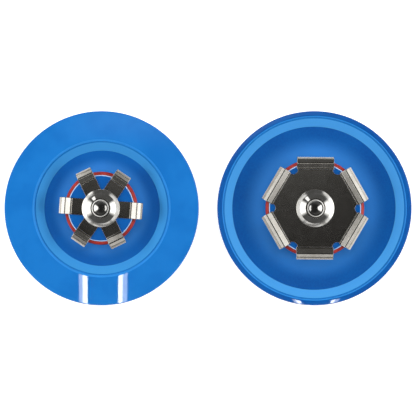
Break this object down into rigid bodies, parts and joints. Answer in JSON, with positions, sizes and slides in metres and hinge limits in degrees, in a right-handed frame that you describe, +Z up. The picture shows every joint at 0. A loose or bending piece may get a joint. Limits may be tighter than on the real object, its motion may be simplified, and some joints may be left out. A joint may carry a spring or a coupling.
{
  "type": "magnetic glass cleaner",
  "caption": "Magnetic aquarium glass cleaner: a dry and a wet puck, each with a ring magnet inside and, on its pad side, a recess with a red-ringed boss and a swivelling sprung clip.",
  "frame": {"origin": "on the resting surface, midway between the two halves", "axes": "+X from the dry half's axis to the wet half's, +Z up, out of the pad sides, +Y away from the user"},
  "size_m": [0.1676, 0.08, 0.0278],
  "materials": {
    "housing_plastic": "glossy flange and side, satin recess",
    "cover_plastic": "fine satin",
    "screw_steel": "bright stainless",
    "black_rubber": "matte",
    "foam_rubber": "fine cells",
    "yoke_steel": "zinc plated",
    "magnet_nickel": "nickel plated",
    "red_silicone": "semi-matte",
    "acetal": "natural acetal",
    "polished_steel": "polished stainless",
    "spring_steel": "bright rolled spring steel"
  },
  "bodies": {
    "dry_half": {"dry_housing": "housing_plastic", "dry_back_cover": "cover_plastic", "dry_cover_screws": "screw_steel", "dry_cover_seal": "black_rubber", "dry_magnet_cushion": "foam_rubber", "dry_yoke_plate": "yoke_steel", "dry_ring_magnet": "magnet_nickel", "dry_boss_ring": "red_silicone", "dry_pivot_bush": "acetal"},
    "dry_hub": {"dry_pivot_pin": "polished_steel", "dry_thrust_washer": "acetal", "dry_circlip": "screw_steel", "dry_collar": "polished_steel", "dry_clip_plate": "spring_steel"},
    "dry_finger_1": {"dry_clip_finger_1": "spring_steel"},
    "dry_finger_2": {"dry_clip_finger_2": "spring_steel"},
    "dry_finger_3": {"dry_clip_finger_3": "spring_steel"},
    "dry_finger_4": {"dry_clip_finger_4": "spring_steel"},
    "dry_finger_5": {"dry_clip_finger_5": "spring_steel"},
    "dry_finger_6": {"dry_clip_finger_6": "spring_steel"},
    "wet_half": {"wet_housing": "housing_plastic", "wet_back_cover": "cover_plastic", "wet_cover_screws": "screw_steel", "wet_cover_seal": "black_rubber", "wet_magnet_cushion": "foam_rubber", "wet_yoke_plate": "yoke_steel", "wet_ring_magnet": "magnet_nickel", "wet_boss_ring": "red_silicone", "wet_pivot_bush": "acetal"},
    "wet_hub": {"wet_pivot_pin": "polished_steel", "wet_thrust_washer": "acetal", "wet_circlip": "screw_steel", "wet_collar": "polished_steel", "wet_clip_plate": "spring_steel"},
    "wet_finger_1": {"wet_clip_finger_1": "spring_steel"},
    "wet_finger_2": {"wet_clip_finger_2": "spring_steel"},
    "wet_finger_3": {"wet_clip_finger_3": "spring_steel"},
    "wet_finger_4": {"wet_clip_finger_4": "spring_steel"},
    "wet_finger_5": {"wet_clip_finger_5": "spring_steel"},
    "wet_finger_6": {"wet_clip_finger_6": "spring_steel"}
  },
  "joints": [
    {"name": "wet_half_slide", "type": "slide", "parent": "dry_half", "child": "wet_half", "axis": [1, 0, 0], "range_m": [0, 0.06]},
    {"name": "dry_hub_swivel", "type": "hinge", "parent": "dry_half", "child": "dry_hub", "pos_m": [-0.0438, 0, 0.016], "axis": [0, 0, 1], "continuous": true},
    {"name": "dry_finger_1_flex", "type": "hinge", "parent": "dry_hub", "child": "dry_finger_1", "pos_m": [-0.03163, -0.00092, 0.0224], "axis": [-0.075, -0.9972, 0], "range_deg": [-10, 10], "stiffness_Nm_per_rad": 1},
    {"name": "dry_finger_2_flex", "type": "hinge", "parent": "dry_hub", "child": "dry_finger_2", "pos_m": [-0.03692, 0.01008, 0.0224], "axis": [0.8261, -0.5635, 0], "range_deg": [-10, 10], "stiffness_Nm_per_rad": 1},
    {"name": "dry_finger_3_flex", "type": "hinge", "parent": "dry_hub", "child": "dry_finger_3", "pos_m": [-0.04909, 0.01099, 0.0224], "axis": [0.9011, 0.4337, 0], "range_deg": [-10, 10], "stiffness_Nm_per_rad": 1},
    {"name": "dry_finger_4_flex", "type": "hinge", "parent": "dry_hub", "child": "dry_finger_4", "pos_m": [-0.05597, 0.00092, 0.0224], "axis": [0.075, 0.9972, 0], "range_deg": [-10, 10], "stiffness_Nm_per_rad": 1},
    {"name": "dry_finger_5_flex", "type": "hinge", "parent": "dry_hub", "child": "dry_finger_5", "pos_m": [-0.05067, -0.01008, 0.0224], "axis": [-0.8261, 0.5635, 0], "range_deg": [-10, 10], "stiffness_Nm_per_rad": 1},
    {"name": "dry_finger_6_flex", "type": "hinge", "parent": "dry_hub", "child": "dry_finger_6", "pos_m": [-0.03851, -0.01099, 0.0224], "axis": [-0.9011, -0.4337, 0], "range_deg": [-10, 10], "stiffness_Nm_per_rad": 1},
    {"name": "wet_hub_swivel", "type": "hinge", "parent": "wet_half", "child": "wet_hub", "pos_m": [0.0438, 0, 0.016], "axis": [0, 0, 1], "continuous": true},
    {"name": "wet_finger_1_flex", "type": "hinge", "parent": "wet_hub", "child": "wet_finger_1", "pos_m": [0.05781, 0.00793, 0.0224], "axis": [0.4924, -0.8704, 0], "range_deg": [-10, 10], "stiffness_Nm_per_rad": 1.5},
    {"name": "wet_finger_2_flex", "type": "hinge", "parent": "wet_hub", "child": "wet_finger_2", "pos_m": [0.04394, 0.0161, 0.0224], "axis": [1, -0.0087, 0], "range_deg": [-10, 10], "stiffness_Nm_per_rad": 1.5},
    {"name": "wet_finger_3_flex", "type": "hinge", "parent": "wet_hub", "child": "wet_finger_3", "pos_m": [0.02993, 0.00817, 0.0224], "axis": [0.5075, 0.8616, 0], "range_deg": [-10, 10], "stiffness_Nm_per_rad": 1.5},
    {"name": "wet_finger_4_flex", "type": "hinge", "parent": "wet_hub", "child": "wet_finger_4", "pos_m": [0.02979, -0.00793, 0.0224], "axis": [-0.4924, 0.8704, 0], "range_deg": [-10, 10], "stiffness_Nm_per_rad": 1.5},
    {"name": "wet_finger_5_flex", "type": "hinge", "parent": "wet_hub", "child": "wet_finger_5", "pos_m": [0.04366, -0.0161, 0.0224], "axis": [-1, 0.0087, 0], "range_deg": [-10, 10], "stiffness_Nm_per_rad": 1.5},
    {"name": "wet_finger_6_flex", "type": "hinge", "parent": "wet_hub", "child": "wet_finger_6", "pos_m": [0.05767, -0.00817, 0.0224], "axis": [-0.5075, -0.8616, 0], "range_deg": [-10, 10], "stiffness_Nm_per_rad": 1.5}
  ]
}
